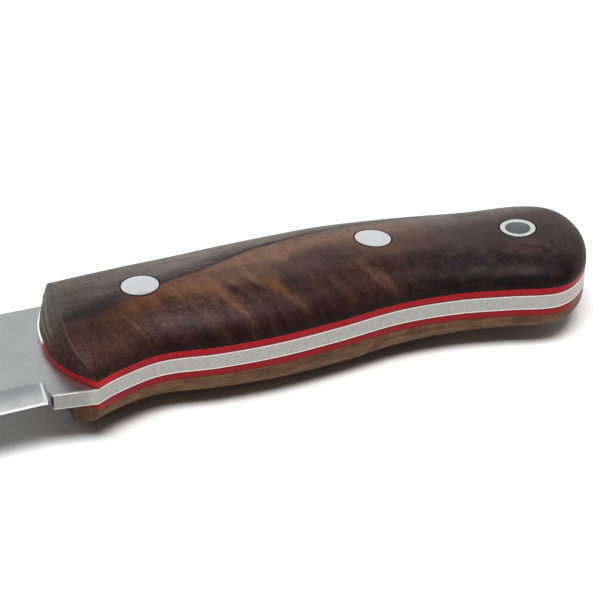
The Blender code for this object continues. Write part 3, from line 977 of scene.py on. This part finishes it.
def satin_steel(name):
    """Blade steel: lengthwise satin lines on the flats, finer lines across the bevel.

    The plunge and the cutting edge are painted near white and partly matt, as painted highlights.
    """
    g = Graph(name)
    place = g.drawing()
    x, y, z = g.parts(place)
    depth = g.size(z)
    normal = g.normal()
    face_on = g.size(normal[2])
    bevel = g.times(g.step(face_on, 0.995, 0.97), g.step(face_on, 0.8, 0.9))
    long_lines = g.noise(g.stretch(place, 0.1, 7, 7), 1, 3, 0.65)
    cross_lines = g.noise(g.stretch(place, 7, 0.25, 0.25), 1, 3, 0.6)
    lines = g.mix(bevel, long_lines, cross_lines)
    cloud = g.noise(place, 0.16, 4, 0.6)
    tone = g.mix(g.step(cloud, 0.3, 0.7), *FLAT_STEEL)
    tone = g.tint(tone, g.step(lines, 0.35, 0.7), 0.16, SATIN_LINE)
    tone = g.mix(bevel, tone, g.mix(g.step(depth, 1.3, 0.2), *BEVEL_STEEL))
    tone = g.mix(g.step(face_on, 0.75, 0.45), tone, steel_side(g, place))

    # painted shade: near black inside the sharpening notch
    notch_shade = g.step(g.distance(x, y, NOTCH_CENTRE), NOTCH_RADIUS + 0.12, NOTCH_RADIUS + 0.04)
    notch_shade = g.times(notch_shade, g.times(g.step(face_on, 0.7, 0.4), g.step(depth, 1.3, 0.7)))
    notch_shade = g.times(notch_shade, g.step(x, HEEL[0] + 0.3, HEEL[0] + 0.55))
    tone = g.tint(tone, notch_shade, 0.95, NOTCH_PAINTED_SHADE)
    # painted highlight: the plunge's curve is painted near white
    plunge = g.times(g.step(normal[0], -0.12, -0.3), g.step(x, HEEL[0] + 0.1, HEEL[0] - 0.1))
    plunge = g.times(plunge, g.step(face_on, 0.1, 0.25))
    tone = g.mix(plunge, tone, PLUNGE_HIGHLIGHT)
    # painted highlight: a near white line along the cutting edge
    edge = g.times(g.step(depth, 0.24, 0.12), g.step(y, -8, -9))
    edge = g.times(edge, g.times(g.step(x, HEEL[0], HEEL[0] - 0.1), g.step(face_on, 0.998, 0.985)))
    tone = g.mix(edge, tone, EDGE_HIGHLIGHT)
    # matt share of the painted highlights
    highlight_matt = g.highest([g.times(plunge, 0.28), g.times(edge, 0.6)])
    pits = g.noise(place, 2.6, 2, 0.5)
    tone = g.tint(tone, g.step(pits, 0.74, 0.8), 0.35, PIT)

    roughness = g.add(g.step(cloud, 0.3, 0.7, 0.345, 0.375), g.times(g.take(lines, 0.5), 0.12))
    blade_flat = g.times(g.step(face_on, 0.985, 0.998), g.step(x, -15, -30))
    roughness = g.dim(roughness, blade_flat, 0.42)
    relief = g.bump(lines, 0.01, 0.35)
    return g.finish(Base_Color=tone, Metallic=g.take(1.0, highlight_matt), Roughness=roughness, Normal=relief)


def pin_metal(name):
    """Polished rod and tube: bright ends with fine sanding lines, painted shade on the tube's outer
    wall, and a rough bore painted darker deeper in.
    """
    g = Graph(name)
    place = g.drawing()
    x, y, z = g.parts(place)
    lines = g.noise(g.stretch(place, 1, 9, 1), 1, 3, 0.6)
    cloud = g.noise(place, 0.7, 3, 0.5)
    tone = g.mix(g.step(lines, 0.3, 0.7), *PIN_STEEL)
    roughness = g.add(g.times(lines, 0.12), g.step(cloud, 0.3, 0.7, 0.12, 0.2))
    from_axis = g.distance(x, y, TUBE)
    # painted shade: the tube's steep outer wall, seen in the glue gap, is painted dark
    shaded_wall = g.step(g.size(g.normal()[2]), 0.96, 0.88)
    shaded_wall = g.times(shaded_wall, g.step(from_axis, PIN_RADIUS - 0.3, PIN_RADIUS - 0.1))
    tone = g.mix(shaded_wall, tone, TUBE_WALL_SHADE)
    # the bore: rough, less metallic steel, painted darker deeper in as shade
    bore = g.step(from_axis, BORE_RADIUS + 0.13, BORE_RADIUS + 0.09)
    tone = g.mix(bore, tone, g.mix(g.step(g.size(z), 8.2, 3.5), *BORE_STEEL_AND_SHADE))
    roughness = g.add(roughness, g.times(bore, 0.45))
    metal = g.take(1.0, g.times(bore, 0.35))
    relief = g.bump(lines, 0.004, 0.3)
    return g.finish(Base_Color=tone, Metallic=metal, Roughness=roughness, Normal=relief)


def red_fibre(name):
    """Vulcanised fibre: saturated red, faintly mottled, with fine sanding lines."""
    g = Graph(name)
    place = g.drawing()
    x, y, z = g.parts(place)
    mottle = g.noise(place, 1.8, 4, 0.6)
    tone = g.mix(g.step(mottle, 0.3, 0.7), *RED)
    lines = g.noise(g.stretch(place, 0.5, 0.5, 9), 1, 2, 0.6)
    tone = g.tint(tone, g.step(lines, 0.6, 0.8), 0.2, RED_LINE)
    # painted reflection: the liners ahead of x = 0, towards the spine, are painted pale as if catching
    # the bright surroundings
    ledge_reflection = g.times(g.step(x, 0, -1), g.step(y, -13.6, -12.2))
    tone = g.tint(tone, ledge_reflection, 0.9, LEDGE_PAINTED_REFLECTION)
    behind_guard = g.take(x, GUARD[0])
    corner = g.times(g.step(behind_guard, -1.2, 0), g.step(behind_guard, 5, 2.5))
    tone = g.tint(tone, corner, 0.8, RED_CORNER)
    # painted shade: the lower (right) liner is painted darker than the upper one
    tone = g.tint(tone, g.step(z, 0.5, -0.5), 0.45, RED_SHADE_UNDER)
    # painted shade: the liners darken in their first quarter millimetre beside the steel, as in a
    # shadowed gap
    shade_beside_steel = g.step(g.size(z), LINER_LOW + 0.26, LINER_LOW + 0.1)
    tone = g.tint(tone, shade_beside_steel, 0.65, RED_SHADE_AT_STEEL)
    beside_wood = g.step(z, -LINER_HIGH + 0.38, -LINER_HIGH + 0.1)
    tone = g.tint(tone, beside_wood, 0.6, RED_AT_WOOD)
    roughness = g.step(mottle, 0.3, 0.7, 0.3, 0.42)
    relief = g.bump(mottle, 0.012, 0.5)
    relief = g.bump(lines, 0.004, 0.4, relief)
    return g.finish(Base_Color=tone, Roughness=roughness, Normal=relief, Specular_IOR_Level=0.12)


# ---------------------------------------------------------------- the knife

# Rounding of the edges, gap beside the liners, and the angles in degrees that shade as sharp
BLADE_SOFT = 0.09
LINER_SOFT = 0.02
LINER_GAP = 0.005
BLADE_SHARP = 12
SHARP = 30

steel = satin_steel("satin_steel")
pin_steel = pin_metal("polished_steel")
red = red_fibre("red_fibre")
upper_wood = Walnut("walnut_left", 0).finish()
lower_wood = Walnut("walnut_right", 0.75).finish()

drills = [drill(centre, PIN_RADIUS + GLUE_LINE) for centre in (FRONT_PIN, REAR_PIN, TUBE)]
grinds = [grind_cutter("left_grind", 1), grind_cutter("right_grind", -1)]

blade = plate("satin_blade", blade_outline(), -HALF_STOCK, HALF_STOCK, BLADE_SOFT, steel)
cut(blade, grinds + drills)
shade(blade, BLADE_SHARP)

liner_outline = handle_line() + smooth(FRONT_FOOT)[:-1]
liner_low = LINER_LOW + LINER_GAP
liner_high = LINER_HIGH - LINER_GAP
left_liner = plate("left_red_liner", liner_outline, liner_low, liner_high, LINER_SOFT, red)
right_liner = plate("right_red_liner", liner_outline, -liner_high, -liner_low, LINER_SOFT, red)
left_scale = scale_mesh("left_walnut_scale", 1, upper_wood)
right_scale = scale_mesh("right_walnut_scale", -1, lower_wood)
for layer in (left_liner, right_liner, left_scale, right_scale):
    cut(layer, drills)
    shade(layer, SHARP)

front_pin = pin_mesh("front_flush_pin", FRONT_PIN, pin_steel)
rear_pin = pin_mesh("rear_flush_pin", REAR_PIN, pin_steel)
lanyard = pin_mesh("lanyard_sleeve", TUBE, pin_steel, bore=BORE_RADIUS)
for metal in (front_pin, rear_pin, lanyard):
    shade(metal, SHARP)

for cutter in drills + grinds:
    bpy.data.objects.remove(cutter)

KNIFE = ((blade, "blade_and_tang", "blade_steel"),
         (left_liner, "left_liner", "red_liner"),
         (right_liner, "right_liner", "red_liner"),
         (left_scale, "left_scale", "scale_wood"),
         (right_scale, "right_scale", "scale_wood"),
         (front_pin, "front_pin", "pin_steel"),
         (rear_pin, "rear_pin", "pin_steel"),
         (lanyard, "lanyard_tube", "pin_steel"))
for piece, node, slot in KNIFE:
    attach(piece, "root")
    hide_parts(node)


# ---------------------------------------------------------------- floor, light and camera

FLOOR_SIZE = 12.0
FLOOR_TONES = ((0.8, 0.8, 0.8), (0.83, 0.83, 0.83))
CONTACT = Vector((45, -14.1, -9.65))
CAMERA_PLACE = Vector((-47.49, -238.26, 151.7))
CAMERA_TARGET = Vector((40.41, -11.95, 0))
SENSOR_WIDTH = 36.0
LENS = 98.6
CLIP = (0.01, 50)

# Softbox over the knife, leaning away from the camera
KEY_HEIGHT = 2.4
KEY_LEAN = 0.78
KEY_SIZE = (1.6, 0.9)
KEY_POWER = 84.0

# Sky: where it turns bright behind the knife and dim above it, and how bright it is
BEHIND_RISE = (-0.15, 0.5)
BEHIND_STRENGTH = 0.84
ABOVE_RISE = (-0.92, -0.55)
DIM_STRENGTH = 0.07


def white_floor(height):
    """A large square under the knife, faintly mottled."""
    g = Graph("white_floor")
    place = g.node("ShaderNodeTexCoord").outputs["Object"]
    tone = g.mix(g.noise(place, 3, 3, 0.5), *FLOOR_TONES)
    half = FLOOR_SIZE / 2
    mesh = bpy.data.meshes.new("floor")
    mesh.from_pydata([(-half, -half, 0), (half, -half, 0), (half, half, 0), (-half, half, 0)],
                     [], [(0, 1, 2, 3)])
    mesh.materials.append(g.finish(Base_Color=tone, Roughness=0.9))
    made = linked(bpy.data.objects.new("floor", mesh))
    made.location = (0, 0, height)


def aim(made, place, target):
    """Puts a light or camera at place, looking at target."""
    made.location = place
    made.rotation_euler = (target - place).to_track_quat("-Z", "Y").to_euler()


def softbox(name, place, target, size, power):
    light = bpy.data.lights.new(name, "AREA")
    light.shape = "RECTANGLE"
    light.size, light.size_y = size
    light.energy = power
    aim(linked(bpy.data.objects.new(name, light)), place, target)


def studio_sky(view_flat):
    """White surroundings, bright behind the knife, dim at the camera's side and above."""
    g = Graph("studio", "worlds", "Background")
    direction = g.node("ShaderNodeTexCoord").outputs["Generated"]
    behind = g.vector("DOT_PRODUCT", direction, view_flat)
    behind = g.step(behind, *BEHIND_RISE, 0.0, BEHIND_STRENGTH)
    not_above = g.step(g.vector("DOT_PRODUCT", direction, (0, 0, -1)), *ABOVE_RISE)
    strength = g.math("MULTIPLY_ADD", behind, not_above, DIM_STRENGTH)
    scene.world = g.finish(Color=(1, 1, 1), Strength=strength)


camera_world = (CAMERA_PLACE + SHIFT) * MM
target_world = (CAMERA_TARGET + SHIFT) * MM
view = target_world - camera_world
view_flat = Vector((view.x, view.y, 0)).normalized()
key_place = target_world - view_flat * KEY_LEAN + Vector((0, 0, KEY_HEIGHT))

white_floor(((CONTACT + SHIFT) * MM).z)
softbox("overhead_softbox", key_place, target_world, KEY_SIZE, KEY_POWER)
studio_sky(view_flat)

camera_data = bpy.data.cameras.new("camera")
camera_data.sensor_width = SENSOR_WIDTH
camera_data.lens = LENS
camera_data.clip_start, camera_data.clip_end = CLIP
camera = linked(bpy.data.objects.new("camera", camera_data))
aim(camera, camera_world, target_world)
scene.camera = camera

scene.view_settings.view_transform = "Standard"
